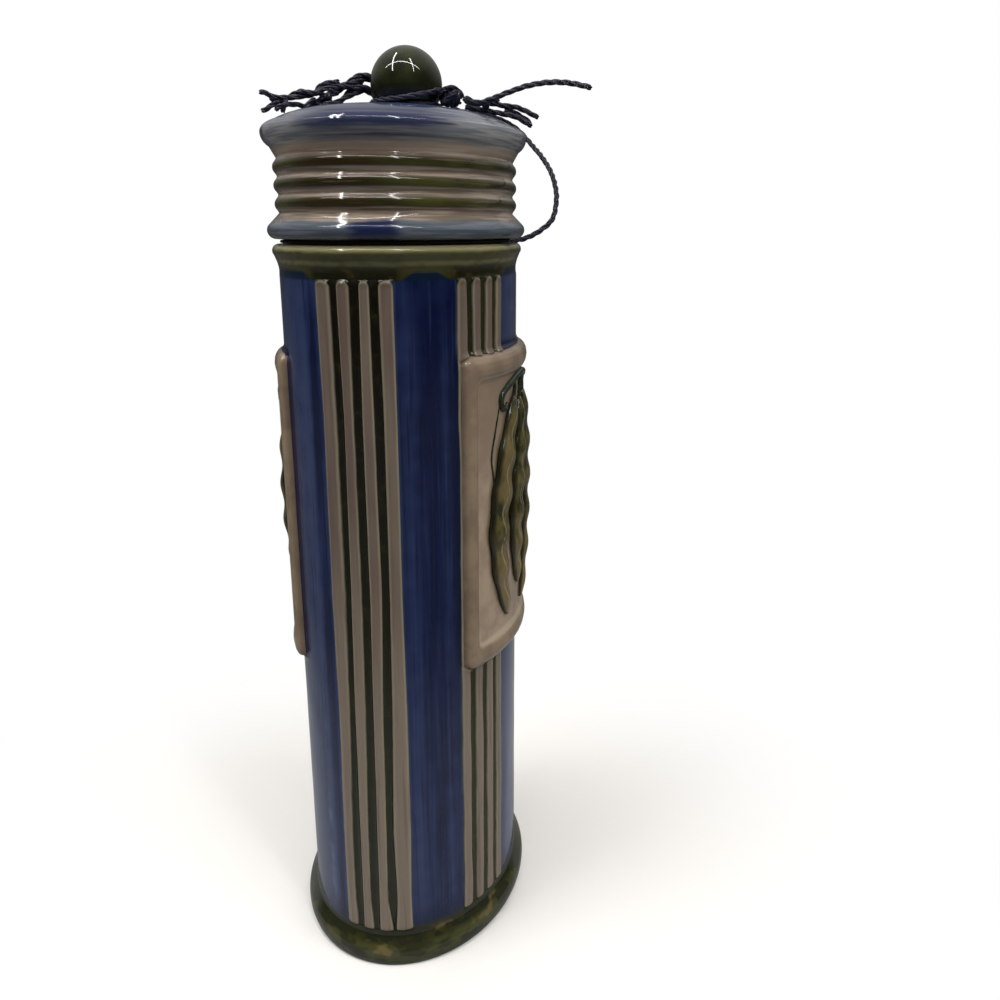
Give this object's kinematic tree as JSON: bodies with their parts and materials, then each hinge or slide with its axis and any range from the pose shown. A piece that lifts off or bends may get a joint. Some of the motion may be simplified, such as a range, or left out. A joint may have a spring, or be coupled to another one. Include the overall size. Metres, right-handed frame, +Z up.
{
  "type": "pasta canister",
  "caption": "Tall oval lidded canister in glazed earthenware, with fluted bands, a relief plaque on each broad side and a ball knob tied with twine.",
  "frame": {"origin": "middle of the foot's underside", "axes": "+Z up along the lid's lift; X along the long way of the oval; the two plaques face -Y and +Y"},
  "size_m": [0.122, 0.1164, 0.33],
  "materials": {
    "blue_glaze": "brushed blue, cream and olive glaze on earthenware, glossy",
    "lid_glaze": "brushed blue, cream and olive glaze on earthenware, glossy",
    "cream_glaze": "cream glaze on earthenware, glossy",
    "pod_green": "brushed green and brown underglaze, satin gloss",
    "stem_green": "dark green underglaze, satin gloss",
    "olive_glaze": "dark olive glaze, high gloss",
    "seal_black": "matt dark seal",
    "waxed_twine": "waxed three-ply twine, dark navy"
  },
  "bodies": {
    "canister": {"canister_body": "blue_glaze", "plaque_front": "cream_glaze", "pod_front_left": "pod_green", "pod_front_centre": "pod_green", "pod_front_right": "pod_green", "stem_front": "stem_green", "plaque_back": "cream_glaze", "pod_back_left": "pod_green", "pod_back_centre": "pod_green", "pod_back_right": "pod_green", "stem_back": "stem_green"},
    "lid": {"lid": "lid_glaze", "lid_knob": "olive_glaze", "seal_ring": "seal_black", "twine_wrap": "waxed_twine", "twine_tail_right_long": "waxed_twine", "twine_tail_right_middle": "waxed_twine", "twine_tail_right_low": "waxed_twine", "twine_loop_right": "waxed_twine", "twine_tail_left_upper": "waxed_twine", "twine_tail_left_lower": "waxed_twine", "twine_tail_left_short": "waxed_twine", "twine_tail_left_drop": "waxed_twine", "twine_knot_right": "waxed_twine", "twine_knot_rear": "waxed_twine", "twine_knot_left": "waxed_twine"}
  },
  "joints": [
    {"name": "lid_lift", "type": "slide", "parent": "canister", "child": "lid", "axis": [0, 0, 1], "range_m": [0, 0.06]}
  ]
}
